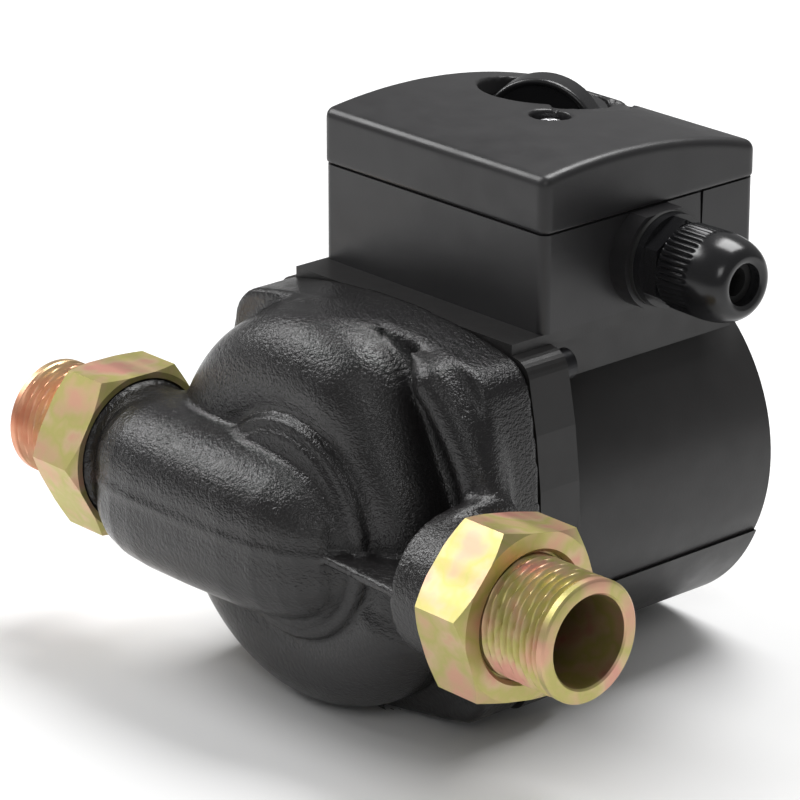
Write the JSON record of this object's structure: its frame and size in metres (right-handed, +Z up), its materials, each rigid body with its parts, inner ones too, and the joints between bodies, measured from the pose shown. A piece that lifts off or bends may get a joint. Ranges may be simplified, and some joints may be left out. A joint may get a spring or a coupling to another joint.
{
  "type": "circulation pump",
  "caption": "Wet-rotor circulation pump with a black volute casing, screwed unions, a round motor and a terminal box with a speed knob and a cable gland.",
  "frame": {"origin": "where the pipe axis and the motor axis cross, midway between the port faces", "axes": "+X along the pipe axis towards the outlet, +Y along the motor axis from the casing to the motor's rear, +Z up towards the terminal box"},
  "size_m": [0.2178, 0.156, 0.1563],
  "materials": {
    "casting": "gloss",
    "housing": "satin black paint",
    "zinc_yellow": "satin",
    "zinc_warm": "satin",
    "rubber": "matte",
    "stainless": "satin",
    "screw_black": "satin",
    "impeller_plastic": "satin",
    "bearing_carbon": "satin",
    "iron": "satin",
    "copper": "satin",
    "box_plastic": "satin",
    "knob_plastic": "satin",
    "gland_nylon": "gloss",
    "switch_plastic": "matte",
    "capacitor_shell": "satin",
    "block_plastic": "satin",
    "brass": "satin"
  },
  "bodies": {
    "pump_body": {"volute_casing": "casting", "neck_ring": "stainless", "inlet_gasket": "rubber", "outlet_gasket": "rubber", "inlet_tailpiece": "zinc_warm", "outlet_tailpiece": "zinc_yellow", "front_bearing": "bearing_carbon", "rear_bearing": "bearing_carbon", "bearing_plate": "stainless", "rotor_can": "stainless", "casing_seal": "rubber", "stator_core": "iron", "stator_windings": "copper", "motor_housing": "housing", "flange_screws": "screw_black", "vent_seal": "rubber", "box_seal": "rubber", "terminal_tray": "box_plastic", "box_screws": "stainless", "lid_gasket": "rubber", "terminal_lid": "box_plastic", "lid_screw": "stainless", "speed_switch": "switch_plastic", "capacitor": "capacitor_shell", "capacitor_clip": "stainless", "terminal_block": "block_plastic", "terminal_screws": "brass", "earth_screw": "brass", "gland_body": "gland_nylon", "gland_washer": "rubber", "gland_locknut": "gland_nylon", "gland_seal": "rubber"},
    "rotor": {"impeller": "impeller_plastic", "rotor_shaft": "stainless", "rotor_core": "iron", "thrust_washer": "bearing_carbon"},
    "inlet_nut": {"inlet_union_nut": "zinc_yellow"},
    "outlet_nut": {"outlet_union_nut": "zinc_yellow"},
    "vent_plug": {"vent_screw": "brass"},
    "knob": {"speed_knob": "knob_plastic"},
    "gland_nut": {"gland_cap": "gland_nylon"}
  },
  "joints": [
    {"name": "rotor_spin", "type": "hinge", "parent": "pump_body", "child": "rotor", "pos_m": [0, 0.06, 0], "axis": [0, 1, 0], "continuous": true},
    {"name": "inlet_nut_turn", "type": "hinge", "parent": "pump_body", "child": "inlet_nut", "pos_m": [-0.08, 0, 0], "axis": [1, 0, 0], "continuous": true},
    {"name": "outlet_nut_turn", "type": "hinge", "parent": "pump_body", "child": "outlet_nut", "pos_m": [0.08, 0, 0], "axis": [1, 0, 0], "continuous": true},
    {"name": "vent_turn", "type": "hinge", "parent": "pump_body", "child": "vent_plug", "pos_m": [0, 0.127, 0], "axis": [0, 1, 0], "continuous": true},
    {"name": "speed_turn", "type": "hinge", "parent": "pump_body", "child": "knob", "pos_m": [-0.017, 0.103, 0.09], "axis": [0, 0, 1], "range_deg": [-45, 45]},
    {"name": "gland_turn", "type": "hinge", "parent": "pump_body", "child": "gland_nut", "pos_m": [0.07, 0.0838, 0.0681], "axis": [1, 0, 0], "continuous": true}
  ]
}
